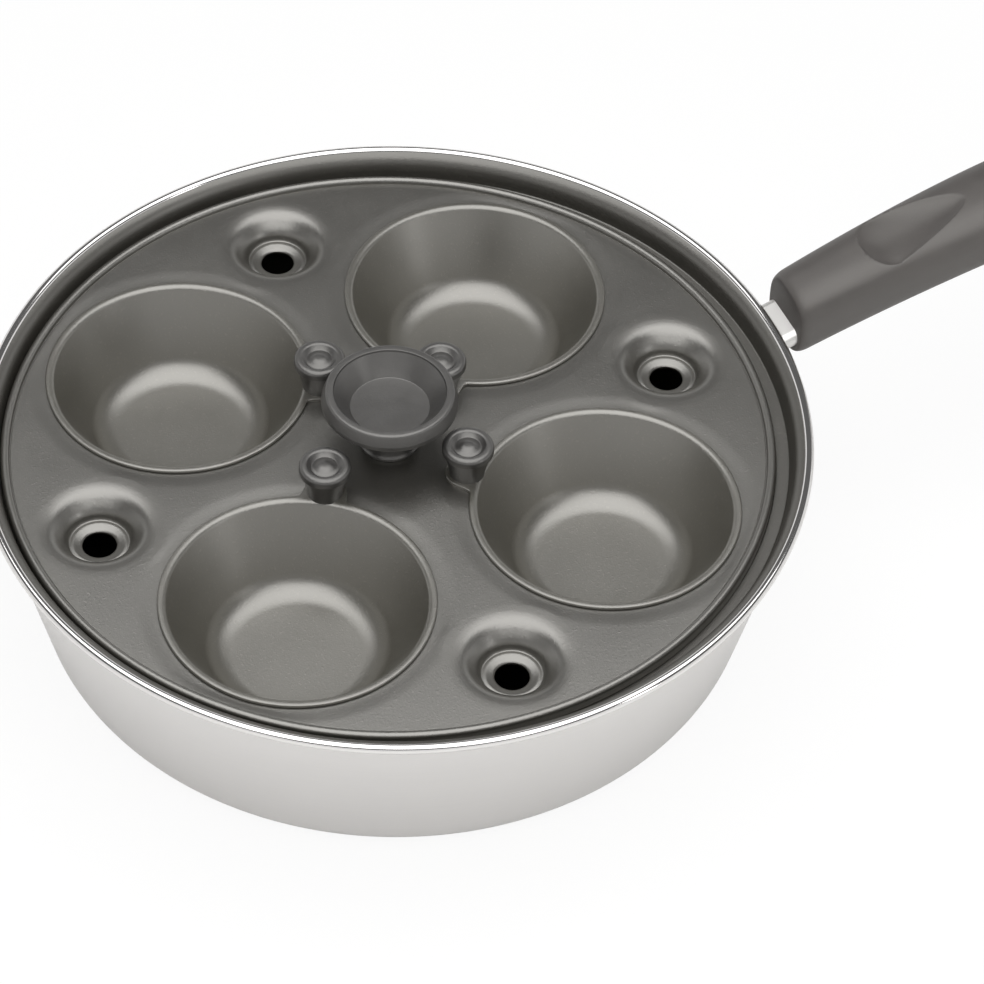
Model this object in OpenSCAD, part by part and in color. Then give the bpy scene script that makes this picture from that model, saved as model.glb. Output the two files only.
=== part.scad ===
// Egg poacher pan: a pressed steel pan, a lift-out tray and four lift-out egg cups.
// The origin is the middle of the flat base, +Z is up and the handle points along +X.

/* [Pan] */
// Outer diameter over the rolled rim
rim_d = 210; // [206:1:216]
// Height from the table to the top of the rolled rim
pan_h = 53.3; // [52.5:0.1:55]
// Thickness of the rolled rim
rim_bead_d = 2.2; // [2:0.1:2.6]
// Thickness of the pan's steel sheet
sheet_t = 0.8; // [0.7:0.1:1]
// Diameter of the wall's outer line at the table
base_d = 182.6; // [180:0.2:185]
// Radius between the base and the wall
base_fillet = 6; // [4:0.5:9]
// Depth of the inner ledge below the top of the rim
ledge_drop = 7.5; // [7.2:0.1:8.2]
// Inner diameter of the ledge that carries the tray
ledge_d = 191; // [188:0.2:191.6]

/* [Tray] */
// Thickness of the tray's sheet
tray_t = 1.0; // [0.8:0.1:1.2]
// Outer diameter of the tray's rolled edge
tray_d = 194.8; // [194:0.2:195.2]
// Height of the tray's flat top above the ledge
tray_rise = 2.0; // [1.8:0.1:2.4]
// Height of the rolled edge above the flat top
lip_h = 1.0; // [0.8:0.05:1.2]
// Where the tray lies in its play in the pan, along X
tray_x = -1.8; // [-1.8:0.05:1.8]
// Where the tray lies in its play in the pan, along Y
tray_y = 0.1; // [-0.4:0.05:0.4]

/* [Steam vents] */
// Distance of the vents from the middle
vent_pitch = 77.5; // [76:0.5:79]
// Outer diameter of the soft dish round a vent
vent_dish_d = 33; // [31:0.5:34]
// Depth of the dish
vent_depth = 6.5; // [5.5:0.5:7.5]
// Diameter of a steam hole
vent_hole_d = 8.6; // [7:0.2:9]

/* [Egg cups] */
// Distance of the cups from the middle
cup_pitch = 58.1; // [57.8:0.1:58.6]
// Outer diameter of the cup's rim
cup_rim_d = 68; // [67.6:0.2:68.4]
// Diameter of the hole in the tray that the cup hangs in
well_d = 66; // [65.8:0.1:66.2]
// Outer diameter of the cup's wall just under the rim
cup_wall_d = 65.2; // [64.6:0.2:65.2]
// Diameter at which the line of the wall meets the bottom
cup_base_d = 42.8; // [38:0.4:43.2]
// Depth of a cup below the tray's top
cup_depth = 21; // [18:1:24]
// Thickness of the cup's sheet
cup_t = 0.8; // [0.6:0.1:0.9]
// Distance of the small knob from the middle of its cup
tab_reach = 36; // [35.9:0.1:36.1]
// Radius of the tab round the small knob
tab_r = 6.6; // [6:0.1:7]
// How far cup 1 is turned in its well, in degrees
cup_1_turn = 7.5; // [0:0.5:18]
// How far cup 2 is turned in its well, in degrees
cup_2_turn = 17.5; // [0:0.5:18]
// How far cup 3 is turned in its well, in degrees
cup_3_turn = 12.5; // [0:0.5:18]
// How far cup 4 is turned in its well, in degrees
cup_4_turn = 4.5; // [0:0.5:18]

/* [Knobs] */
// Diameter of the big knob's skirt
knob_skirt_d = 34.4; // [33:0.2:34.6]
// Diameter of the big knob's upper ring
knob_ring_d = 31.6; // [30:0.2:32]
// Height of the big knob above the tray
knob_h = 18.2; // [18:0.2:21]
// Depth of the dish in the big knob
knob_dish_depth = 5.7; // [4:0.1:6.5]
// Diameter of a small knob
small_knob_d = 13; // [12:0.2:13]
// Height of a small knob above its tab
small_knob_h = 9.8; // [9:0.2:10]

/* [Handle] */
// Distance of the grip's front face from the middle
handle_x = 109; // [108.6:0.1:110]
// Length of the moulded grip along X
handle_l = 162; // [150:1:172]
// Height of the grip's middle line at its front face
handle_z = 52; // [51.6:0.1:52.6]
// Rise of the grip at its front face, per millimetre of length
handle_rise = 0.36; // [0.34:0.01:0.38]
// Width of the grip at its front face
front_w = 19.5; // [19:0.1:21]
// Largest width of the grip
belly_w = 26; // [24:0.5:28]
// Thickness of the grip over its front half
grip_thick = 19.2; // [18:0.2:20]
// Diameter of the hanging hole
hang_hole_d = 9; // [7:0.5:10]
// Width of the steel neck
neck_w = 15.6; // [14:0.2:16]
// Thickness of the steel neck
neck_t = 4.6; // [4.4:0.1:5]

/* [Hidden] */
$fn = 96;

// Pan: radii and heights of the section
bead_r = rim_bead_d / 2;
bead_x = rim_d / 2 - bead_r;
bead_z = pan_h - bead_r;
ledge_z = pan_h - ledge_drop;
wall_top_z = bead_z - 5.5;
wall_top_r = bead_x - 2.3;
wall_angle = atan((wall_top_r - base_d / 2) / wall_top_z);
sheet_x = sheet_t / cos(wall_angle);
ledge_in = ledge_d / 2;
ledge_fillet = 2.2;

// Tray: its rest on the ledge, its flat top and its edges
tray_top = ledge_z + tray_rise;
roll_r = 1.05;
edge_r = tray_d / 2;
lip_r = edge_r - roll_r;
well_collar = 3;
cup_turns = [cup_1_turn, cup_2_turn, cup_3_turn, cup_4_turn];

// Fixings: the clearance between a screw and its hole, and the screw sizes
fit_gap = 0.05;
cup_screw_r = 1.5;
cup_screw_head = [2.8, 1.6];
knob_screw_r = 2.5;
knob_screw_head = [4.4, 2.6];
washer_r = 6.5;
washer_t = 1.0;
handle_screw_r = 2.0;
handle_screw_head = [3.6, 2.2];
handle_screw_x = handle_x + 19;
screw_notch_r = 4.2;

// Neck: the middle line of the steel tang that carries the grip
tang_t = 2.4;
tang_w = 13.4;
tang_end_x = handle_x + 32;
tang_z0 = bead_z - 3.6;
tang_x0 = 107;
tang_tilt = atan(0.32);
plate_t = 2;
plate_top = tang_z0 - 1.6;
guard_x = wall_top_r + plate_t + 1;
socket_gap = 0.2;

// Grip: sections along its length
grip_steps = 54;
grip_sides = 52;
grip_belly_u = 95;
grip_tail_w = 22;
grip_tail_t = 13;
grip_bevel = 2.8;
grip_bevel_scale = 0.89;
grip_droop = 0.00125;
grip_square = 2.8;
thumb_u = 27.5;
thumb_near = 7;
thumb_far = 22;
thumb_w = 9.2;
thumb_depth = 3.4;
hang_u = handle_l - 13;
tail_round = 14;

steel = "#c9c9c7";
polished = "#dcdcda";
coating = "#47474a";
moulding = "#3a3738";

// Points of an arc, a placed cup's middle, and the radius of the wall's outer line at height z
function arc(c, r, a0, a1, n) = [for (i = [0:n])
    let (a = a0 + (a1 - a0) * i / n) c + r * [cos(a), sin(a)]];
function cup_angle(i) = 45 + 90 * (i - 1);
function cup_centre(i) = [tray_x, tray_y] + cup_pitch * [cos(cup_angle(i)), sin(cup_angle(i))];
function wall_r(z) = base_d / 2 + z * tan(wall_angle);

// Fillet of radius f between a floor at height z0 and a wall leaning out by lean, which meets it at r0
function fillet_x(r0, f, lean) = r0 - f * (1 - sin(lean)) / cos(lean);

// Pan section: base, leaning wall, rolled rim and the inner ledge
pan_c = [fillet_x(base_d / 2, base_fillet, wall_angle), base_fillet];
ledge_foot_z = (ledge_in + sheet_x - base_d / 2) / tan(wall_angle);
ledge_c = [fillet_x(wall_r(ledge_z) - sheet_x, ledge_fillet, wall_angle), ledge_z + ledge_fillet];
function flare(t, side) = [wall_top_r + 1.55 * (0.62 * t + 0.38 * t * t) - side * (sheet_x + 0.12 * t),
    wall_top_z + 4.4 * t + side * 0.5 * t];
pan_section = concat(
    [[0, 0]],
    arc(pan_c, base_fillet, -90, -wall_angle, 10),
    [for (i = [0:6]) flare(i / 6, 0)],
    arc([bead_x, bead_z], bead_r, -125, 140, 22),
    [for (i = [6:-1:2]) flare(i / 6, 1)],
    arc(ledge_c, ledge_fillet, -wall_angle, -90, 8),
    [[ledge_in + 0.5, ledge_z], [ledge_in, ledge_z - 0.5], [ledge_in, ledge_foot_z]],
    arc(pan_c, base_fillet - sheet_t, -wall_angle, -90, 10),
    [[0, sheet_t]]);

module pan_body() {
    color(steel) rotate_extrude() polygon(pan_section);
}

// Everything inside the pan's outer face, used to seat the bracket on the wall
module pan_envelope() {
    rotate_extrude() polygon(concat(
        [[0, 0]],
        arc(pan_c, base_fillet, -90, -wall_angle, 10),
        [for (i = [0:6]) flare(i / 6, 0)],
        [[0, wall_top_z + 4.4]]));
}

// A bar along the tang's middle line from x = from to x = to, measured across the line
module tang_bar(from, to, w, t, round_r = 0) {
    translate([tang_x0, 0, tang_z0]) rotate([0, -tang_tilt, 0])
        translate([from - tang_x0, 0, 0]) rotate([90, 0, 90])
            linear_extrude((to - from) / cos(tang_tilt))
                if (round_r > 0) {
                    square([w - 2 * round_r, t], center = true);
                    for (side = [-1, 1]) translate([side * (w / 2 - round_r), 0]) circle(round_r);
                } else square([w, t], center = true);
}

// Welded plate on the wall, a bend under the rim and the tang that carries the grip
module handle_bracket() {
    plate_low = 22;
    plate_w = 26;
    color(steel) difference() {
        union() {
            difference() {
                translate([0, plate_w / 2, 0]) rotate([90, 0, 0]) linear_extrude(plate_w)
                    polygon([[88, plate_low], [wall_r(plate_low) + plate_t, plate_low],
                        [wall_r(plate_top) + plate_t, plate_top], [88, plate_top]]);
                for (side = [-1, 1]) translate([85, side * plate_w / 2, plate_low]) rotate([0, 90, 0])
                    rotate(45) cube([6, 6, 60], center = true);
            }
            tang_bar(99, tang_end_x, tang_w, tang_t);
        }
        pan_envelope();
        translate([handle_screw_x, 0, 40]) cylinder(h = 30, r = handle_screw_r + fit_gap);
    }
}

// Bright sleeve over the tang between the wall and the grip
module flame_guard() {
    color(polished) difference() {
        tang_bar(guard_x, handle_x + 3, neck_w, neck_t, neck_t / 2);
        tang_bar(95, handle_x + 9, tang_w + 2 * fit_gap, tang_t + 2 * fit_gap);
    }
}

// Grip: width, thickness, middle height and end scaling at a distance u from the front face
function blend(a, b, t) = let (s = max(0, min(1, t))) a + (b - a) * s * s * (3 - 2 * s);
function grip_w(u) = u < grip_belly_u ? front_w + (belly_w - front_w) * sin(90 * u / grip_belly_u)
    : blend(belly_w, grip_tail_w, (u - grip_belly_u) / (handle_l - grip_belly_u));
function grip_t(u) = blend(grip_thick, grip_tail_t, (u - 50) / (handle_l - 50));
function grip_mid(u) = handle_z + handle_rise * u - grip_droop * u * u;
function front_scale(u) = u > grip_bevel ? 1
    : grip_bevel_scale + (1 - grip_bevel_scale) * (u < 0.4 ? u : 0.4 + (u - 0.4) * 0.6 / (grip_bevel - 0.4));
function tail_scale(u) = let (d = max(0, u - (handle_l - tail_round)) / tail_round) sqrt(max(0, 1 - d * d));
function signed_pow(v, e) = sign(v) * pow(abs(v), e);

// Thumb rest: an egg-shaped hollow, round towards the pan and drawn out away from it
function thumb(u, y) = let (
    a = (u - thumb_u) / (u < thumb_u ? thumb_near : thumb_far),
    b = y / (thumb_w * (1 - 0.45 * max(0, a))),
    d = 1 - a * a - b * b) d > 0 ? thumb_depth * d * d * (3 - 2 * d) * (1.7 - 0.7 * d) : 0;

// Distances of the grip's sections, closest over the thumb rest and round the tail
function grip_u(i) = i == 0 ? 0 : i == 1 ? 0.4 : i == 2 ? 1.6 : i == 3 ? grip_bevel
    : i >= grip_steps - 8 ? handle_l - tail_round * (1 - sin(90 * (i - grip_steps + 8) / 8.35))
    : i < 7 ? grip_bevel + 3.5 * (i - 3)
    : i < 34 ? grip_bevel + 14 + 1.3 * (i - 7)
    : let (k = (i - 33) / (grip_steps - 41))
        grip_bevel + 47.8 + (handle_l - tail_round - grip_bevel - 47.8) * k;
function grip_point(i, j) = let (
    u = grip_u(i),
    s = front_scale(u) * tail_scale(u),
    th = 360 * j / grip_sides,
    y = grip_w(u) / 2 * s * signed_pow(cos(th), 2 / grip_square),
    z = grip_t(u) / 2 * (0.35 * s + 0.65 * front_scale(u)) * signed_pow(sin(th), 2 / grip_square))
    [handle_x + u, y, grip_mid(u) + z - (z > 0 ? thumb(u, y) : 0)];

module grip_shape() {
    points = [for (i = [0:grip_steps], j = [0:grip_sides - 1]) grip_point(i, j)];
    sides = [for (i = [0:grip_steps - 1], j = [0:grip_sides - 1])
        let (a = i * grip_sides + j, b = i * grip_sides + (j + 1) % grip_sides)
        [a, a + grip_sides, b + grip_sides, b]];
    front = [[for (j = [0:grip_sides - 1]) j]];
    back = [[for (j = [0:grip_sides - 1]) grip_steps * grip_sides + grip_sides - 1 - j]];
    polyhedron(points, concat(front, sides, back));
}

module handle_grip() {
    screw_low = grip_mid(handle_screw_x - handle_x) - grip_t(handle_screw_x - handle_x) / 2;
    color(moulding) difference() {
        grip_shape();
        tang_bar(100, tang_end_x + 1, tang_w + 2 * socket_gap, tang_t + 2 * socket_gap);
        tang_bar(100, handle_x + 3.4, neck_w + 2 * socket_gap, neck_t + 2 * socket_gap);
        translate([handle_screw_x, 0, 30]) cylinder(h = 29.5, r = handle_screw_r + fit_gap);
        translate([handle_screw_x, 0, 30])
            cylinder(h = screw_low - 30 + handle_screw_head[1] + 0.6, r = handle_screw_head[0] + 0.2);
        translate([handle_x + hang_u, 0, 60]) cylinder(h = 50, r = hang_hole_d / 2);
    }
}

module handle_screw() {
    u = handle_screw_x - handle_x;
    seat = grip_mid(u) - grip_t(u) / 2 + handle_screw_head[1] + 0.6;
    color(polished) translate([handle_screw_x, 0, 0]) difference() {
        union() {
            translate([0, 0, seat - handle_screw_head[1]])
                cylinder(h = handle_screw_head[1], r = handle_screw_head[0]);
            translate([0, 0, seat - 0.1]) cylinder(h = 59 - seat, r = handle_screw_r);
        }
        cross_slot(seat - handle_screw_head[1], 4, 0.8, 1.2);
    }
}

// A cross-shaped driver slot, cut upwards from height z
module cross_slot(z, l, w, depth) {
    for (turn = [0, 90]) rotate(turn) translate([-l / 2, -w / 2, z - 1]) cube([l, w, depth + 1]);
}

// Tray section: flat top, a fine groove, and the rolled edge that rests on the ledge
tray_section = concat(
    [[0, tray_top - tray_t], [edge_r - 2.4, tray_top - tray_t], [edge_r - 1.5, tray_top - 0.7],
        [edge_r - 1.0, tray_top - 0.2], [edge_r - 0.8, tray_top - 0.7], [edge_r - 0.8, ledge_z],
        [edge_r - 0.4, ledge_z], [edge_r, ledge_z + 0.4]],
    arc([lip_r, tray_top + lip_h - roll_r], roll_r, 0, 90, 8),
    arc([lip_r, tray_top + lip_h - 0.85], 0.85, 100, 180, 6),
    [[lip_r - 0.95, tray_top - 0.05], [lip_r - 1.1, tray_top - 0.18], [lip_r - 1.3, tray_top - 0.18],
        [lip_r - 1.45, tray_top], [0, tray_top]]);

// Section of a vent: soft shoulder, even slope, trough and a collar that falls to the hole's edge
vent_r = vent_dish_d / 2;
hole_r = vent_hole_d / 2;
vent_top = [[vent_r + 0.6, 0], [vent_r, 0], [vent_r - 1.5, -0.08], [14, -0.3], [13, -0.75],
    [12.3, -1.25], [11, -2.3], [10, -3.2], [9, -vent_depth + 2.35], [8.3, -vent_depth + 1.6],
    [7.8, -vent_depth + 1.0], [7.5, -vent_depth + 0.7], [7.2, -vent_depth + 0.85],
    [6.8, -vent_depth + 1.0], [6.2, -vent_depth + 0.9], [5.2, -vent_depth + 0.5]];
// Moves point i of a line square to the line, to its left
function beside(line, i, by) = let (a = line[max(0, i - 1)], b = line[min(len(line) - 1, i + 1)],
    d = (b - a) / norm(b - a)) line[i] + by * [-d[1], d[0]];

module vent() {
    rotate_extrude() polygon(concat(vent_top,
        [[hole_r + 0.3, -vent_depth + 0.1], [hole_r, -vent_depth - 0.2], [hole_r, -vent_depth - tray_t],
            [7.4, -vent_depth - tray_t]],
        [for (i = [10:-1:0]) beside(vent_top, i, tray_t)]));
}

module tray() {
    color(coating) difference() {
        translate([tray_x, tray_y, 0]) {
            difference() {
                rotate_extrude() polygon(tray_section);
                for (a = [0:90:270]) rotate(a) translate([vent_pitch, 0, tray_top - 4])
                    cylinder(h = 8, r = vent_r + 0.2);
            }
            for (a = [0:90:270]) rotate(a) translate([vent_pitch, 0, tray_top]) vent();
            for (a = [45:90:315]) rotate(a) translate([cup_pitch, 0, tray_top - well_collar])
                cylinder(h = well_collar - 0.1, r = well_d / 2 + tray_t);
        }
        for (i = [1:4]) translate(concat(cup_centre(i), tray_top - 10)) cylinder(h = 20, r = well_d / 2);
        for (i = [1:4]) at_cup_knob(i, tray_top - 10) cylinder(h = 20, r = screw_notch_r);
        translate([tray_x, tray_y, tray_top - 10]) cylinder(h = 20, r = knob_screw_r + fit_gap);
    }
}

// Places its children at the middle of cup i's small knob, at height z
module at_cup_knob(i, z) {
    translate(concat(cup_centre(i), z)) rotate(cup_angle(i) + 180 + cup_turns[i - 1])
        translate([tab_reach, 0, 0]) children();
}

// Big knob: stem, flared skirt, rounded ring and a dish with a flat floor
module tray_knob() {
    ring_r = knob_ring_d / 2;
    skirt_r = knob_skirt_d / 2;
    floor_r = 9.95;
    color(moulding) translate([tray_x, tray_y, tray_top]) difference() {
        rotate_extrude() polygon(concat(
            [[0, 0], [8.2, 0], [8.2, 0.8]],
            [for (i = [0:8]) let (t = i / 8) [7.2 - 0.6 * sin(180 * t) + 1.4 * t * t, 1.4 + 8.2 * t]],
            [[12, knob_h - 6.6], [15.6, knob_h - 4.9], [skirt_r - 0.3, knob_h - 4.1]],
            [[skirt_r, knob_h - 3.7], [skirt_r - 0.2, knob_h - 3.2], [ring_r + 0.45, knob_h - 1.4]],
            arc([ring_r - 0.9, knob_h - 0.9], 0.9, 10, 90, 6),
            arc([ring_r - 1.2, knob_h - 0.5], 0.5, 90, 160, 4),
            [[floor_r + 0.2, knob_h - knob_dish_depth + 0.2], [floor_r, knob_h - knob_dish_depth],
                [0, knob_h - knob_dish_depth]]));
        translate([0, 0, -1]) cylinder(h = 11.5, r = knob_screw_r + fit_gap);
    }
}

module tray_knob_washer() {
    color(polished) translate([tray_x, tray_y, tray_top - tray_t - washer_t]) difference() {
        cylinder(h = washer_t, r = washer_r);
        translate([0, 0, -1]) cylinder(h = washer_t + 2, r = knob_screw_r + fit_gap);
    }
}

// A screw that points up: seat is the height of the face that its head bears on
module screw_up(seat, shank_r, shank_l, head) {
    difference() {
        union() {
            translate([0, 0, seat - head[1]]) cylinder(h = head[1], r = head[0]);
            translate([0, 0, seat - 0.1]) cylinder(h = shank_l, r = shank_r);
        }
        cross_slot(seat - head[1], head[0] * 1.2, head[0] * 0.24, head[1] * 0.55);
    }
}

module tray_knob_screw() {
    color(polished) translate([tray_x, tray_y, 0])
        screw_up(tray_top - tray_t - washer_t, knob_screw_r, 11, knob_screw_head);
}

// Egg cup section: rounded bottom, leaning wall and a narrow rolled rim
cup_lean = atan((cup_wall_d - cup_base_d) / 2 / cup_depth);
cup_fillet = 9;
cup_c = [fillet_x(cup_base_d / 2, cup_fillet, cup_lean), cup_fillet - cup_depth];
cup_rim_t = 1.0;
cup_lip_r = cup_wall_d / 2 - cup_t / cos(cup_lean);
cup_section = concat(
    [[0, -cup_depth]],
    arc(cup_c, cup_fillet, -90, -cup_lean, 12),
    [[cup_wall_d / 2, 0], [cup_rim_d / 2 - 0.3, 0]],
    arc([cup_rim_d / 2 - 0.5, cup_rim_t - 0.5], 0.5, -50, 90, 6),
    arc([cup_lip_r + 0.8, cup_rim_t - 0.8], 0.8, 90, 180, 6),
    arc(cup_c, cup_fillet - cup_t, -cup_lean, -90, 12),
    [[0, cup_t - cup_depth]]);

module cup(i) {
    color(coating) difference() {
        union() {
            translate(concat(cup_centre(i), tray_top)) rotate_extrude() polygon(cup_section);
            difference() {
                at_cup_knob(i, tray_top) linear_extrude(cup_rim_t - 0.1) {
                    circle(tab_r);
                    translate([-4, -tab_r]) square([4, 2 * tab_r]);
                }
                translate(concat(cup_centre(i), tray_top - 1)) cylinder(h = 3, r = cup_wall_d / 2 + 0.6);
            }
        }
        at_cup_knob(i, tray_top - 1) cylinder(h = 4, r = cup_screw_r + fit_gap);
    }
}

// Small knob: a stem that widens to a rimmed cap with a domed middle
module cup_knob(i) {
    cap_r = small_knob_d / 2;
    stem_r = 3.7;
    cap_z = small_knob_h - 2.9;
    color(moulding) at_cup_knob(i, tray_top + cup_rim_t - 0.1) difference() {
        rotate_extrude() polygon(concat(
            [[0, 0], [stem_r, 0]],
            [for (k = [1:8]) let (t = k / 8) [stem_r + (cap_r - stem_r - 0.5) * pow(t, 1.3), cap_z * t]],
            [[cap_r, cap_z + 0.5]],
            arc([cap_r - 0.9, small_knob_h - 0.9], 0.9, 0, 90, 5),
            [[4.1, small_knob_h - 0.1], [3.8, small_knob_h - 0.5], [3.6, small_knob_h - 1.3]],
            [for (k = [0:6]) let (t = k / 6) [3.2 * cos(90 * t), small_knob_h - 1.5 + 1.3 * sin(90 * t)]]));
        translate([0, 0, -1]) cylinder(h = 7, r = cup_screw_r + fit_gap);
    }
}

module cup_screw(i) {
    color(polished) at_cup_knob(i, 0) screw_up(tray_top, cup_screw_r, 6.4, cup_screw_head);
}

pan_body();
handle_bracket();
flame_guard();
handle_grip();
handle_screw();
tray();
tray_knob();
tray_knob_washer();
tray_knob_screw();
cup(1);  // cup_1
cup(2);  // cup_2
cup(3);  // cup_3
cup(4);  // cup_4
cup_knob(1);  // cup_knob_1
cup_knob(2);  // cup_knob_2
cup_knob(3);  // cup_knob_3
cup_knob(4);  // cup_knob_4
cup_screw(1);  // cup_screw_1
cup_screw(2);  // cup_screw_2
cup_screw(3);  // cup_screw_3
cup_screw(4);  // cup_screw_4
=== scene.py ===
"""Builds the looks of an egg poacher pan around its packed CAD frame.

Every piece is in metres in the frame of the CAD model: the origin is the middle of the flat base,
+Z is up and the handle points along +X.
"""
import math
import bpy
import numpy as np
from bpy.props import FloatProperty, FloatVectorProperty, PointerProperty
from mathutils import Matrix, Vector
from mathutils.geometry import delaunay_2d_cdt


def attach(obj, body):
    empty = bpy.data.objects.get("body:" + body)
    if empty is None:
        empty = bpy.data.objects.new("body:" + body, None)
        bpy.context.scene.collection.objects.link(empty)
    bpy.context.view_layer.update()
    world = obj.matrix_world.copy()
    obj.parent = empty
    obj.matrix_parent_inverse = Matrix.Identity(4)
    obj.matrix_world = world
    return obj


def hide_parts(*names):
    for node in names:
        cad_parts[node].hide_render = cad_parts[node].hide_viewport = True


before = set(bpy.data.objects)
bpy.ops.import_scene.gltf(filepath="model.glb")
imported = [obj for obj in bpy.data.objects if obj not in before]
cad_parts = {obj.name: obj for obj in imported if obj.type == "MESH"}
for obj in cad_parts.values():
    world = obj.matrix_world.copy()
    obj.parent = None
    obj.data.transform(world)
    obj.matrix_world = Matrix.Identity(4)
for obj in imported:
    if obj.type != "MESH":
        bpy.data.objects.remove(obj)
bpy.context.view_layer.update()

bl_info = {
    "name": "Egg poacher pan",
    "version": (1, 0, 0),
    "blender": (4, 5, 0),
    "location": "View3D > Sidebar > Poacher",
    "description": "Pan, tray, cups, knobs and grip of an egg poacher with their finishes",
    "category": "Add Mesh",
}

MM = 0.001
PAN_STEPS = 288
EDGE_STEPS = 384
VENT_STEPS = 120
KNOB_STEPS = 192
SMALL_STEPS = 128
COLLAR_STEPS = 160
WHITE = (1.0, 1.0, 1.0, 1.0)


# Settings that a user would change

def length(name, description, value, low, high):
    """A length property in metres, shown in the scene's unit."""
    return FloatProperty(name=name, description=description, default=value * MM, min=low * MM,
        max=high * MM, precision=5, unit="LENGTH", subtype="DISTANCE")


def angle(name, description, degrees):
    """A small turn, in radians."""
    return FloatProperty(name=name, description=description, default=math.radians(degrees), min=0.0,
        max=math.radians(18), unit="ROTATION", subtype="ANGLE")


def paint(name, description, value):
    """A colour property, as the renderer's linear red, green and blue."""
    return FloatVectorProperty(name=name, description=description, default=value, size=3,
        min=0.0, max=1.0, subtype="COLOR")


def share(name, description, value):
    """A property from 0 to 1."""
    return FloatProperty(name=name, description=description, default=value, min=0.0, max=1.0,
        subtype="FACTOR")


class PanSettings(bpy.types.PropertyGroup):
    """Sizes and steel of the pan."""
    rim_d: length("Rim diameter", "Outer diameter over the rolled rim", 210, 206, 216)
    pan_h: length("Height", "Height from the table to the top of the rim", 52.9, 52, 55)
    bead_r: length("Rim bead radius", "Radius of the rolled rim's tube", 1.25, 1.0, 1.3)
    base_d: length("Base diameter", "Diameter of the wall's line at the table", 182.6, 180, 185)
    sheet_t: length("Sheet", "Thickness of the pressed steel", 0.8, 0.7, 1.0)
    ledge_d: length("Ledge diameter", "Inner diameter of the ledge under the tray", 191, 188, 192)
    steel: paint("Steel", "Colour of the satin steel", (0.72, 0.706, 0.697))
    satin: share("Satin roughness", "Roughness of the outer wall", 0.34)
    polish: share("Rim roughness", "Roughness of the polished rim", 0.10)
    coating: paint("Coating", "Colour of the dark coating inside", (0.024, 0.022, 0.018))


class TraySettings(bpy.types.PropertyGroup):
    """Sizes and coating of the tray."""
    middle: FloatVectorProperty(name="Middle", description="Where the tray lies in the pan",
        default=(-1.8 * MM, 0.1 * MM), size=2, unit="LENGTH", subtype="XYZ")
    edge_d: length("Edge diameter", "Outer diameter of the rolled edge", 194.8, 194, 195.2)
    roll_r: length("Roll radius", "Radius of the rolled edge", 1.1, 0.9, 1.2)
    lip_h: length("Edge height", "Height of the rolled edge above the flat top", 1.45, 0.8, 1.6)
    top_z: length("Top height", "Height of the flat top above the table", 47.8, 47, 49)
    sheet_t: length("Sheet", "Thickness of the tray's sheet", 1.0, 0.8, 1.2)
    dip: length("Dip", "How far the plate sinks at a well's edge", 0.25, 0, 0.9)
    dip_w: length("Dip width", "Width of the soft shoulder round a well", 5.4, 1, 6)
    vent_pitch: length("Vent pitch", "Distance of the steam vents from the middle", 77.5, 76, 79)
    vent_d: length("Vent diameter", "Outer diameter of the soft dish round a vent", 33, 31, 34)
    vent_depth: length("Vent depth", "Depth of the dish round a vent", 6.5, 5.5, 7.5)
    hole_d: length("Steam hole", "Diameter of a steam hole", 8.6, 7, 9)
    well_d: length("Well diameter", "Diameter of the hole that a cup hangs in", 66, 65.8, 66.2)
    coating: paint("Coating", "Colour of the dark coating", (0.020, 0.0185, 0.0155))
    satin: share("Coating roughness", "Roughness of the coating", 0.35)


class CupSettings(bpy.types.PropertyGroup):
    """Sizes and coating of the cups."""
    turn_1: angle("Cup 1 turn", "How far cup 1 is turned in its well", 7.5)
    turn_2: angle("Cup 2 turn", "How far cup 2 is turned in its well", 17.5)
    turn_3: angle("Cup 3 turn", "How far cup 3 is turned in its well", 12.5)
    turn_4: angle("Cup 4 turn", "How far cup 4 is turned in its well", 4.5)
    pitch: length("Pitch", "Distance of the cups from the tray's middle", 58.1, 57.8, 58.6)
    rim_d: length("Rim diameter", "Outer diameter of a cup's rim", 68, 67.6, 68.4)
    wall_d: length("Wall diameter", "Outer diameter of the wall under the rim", 65.2, 64.6, 65.2)
    base_d: length("Base diameter", "Where the wall's line meets the bottom", 42.8, 38, 43.2)
    depth: length("Depth", "Depth of a cup below the tray's top", 21, 18, 24)
    sheet_t: length("Sheet", "Thickness of a cup's sheet", 0.8, 0.6, 0.9)
    tab_reach: length("Knob reach", "Distance of the small knob from the cup", 36, 35.9, 36.1)
    tab_r: length("Tab radius", "Radius of the tab round the small knob", 5.6, 5, 7)
    coating: paint("Coating", "Colour of the cups' coating", (0.042, 0.039, 0.031))
    satin: share("Coating roughness", "Roughness of the cups' coating", 0.36)


class KnobSettings(bpy.types.PropertyGroup):
    """Sizes and moulding of the knobs."""
    skirt_d: length("Skirt diameter", "Diameter of the big knob's skirt", 34.4, 33, 35)
    ring_d: length("Ring diameter", "Diameter of the big knob's upper ring", 31.6, 30, 32)
    height: length("Height", "Height of the big knob above the tray", 18.2, 18, 21)
    dish: length("Dish depth", "Depth of the dish in the big knob", 5.7, 4, 6.5)
    small_d: length("Small knob", "Diameter of a small knob", 13, 12, 13)
    small_h: length("Small height", "Height of a small knob above its tab", 9.8, 9, 10)
    moulding: paint("Moulding", "Colour of the knobs' moulding", (0.028, 0.027, 0.0265))
    gloss: share("Moulding roughness", "Roughness of the knobs' moulding", 0.38)


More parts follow.
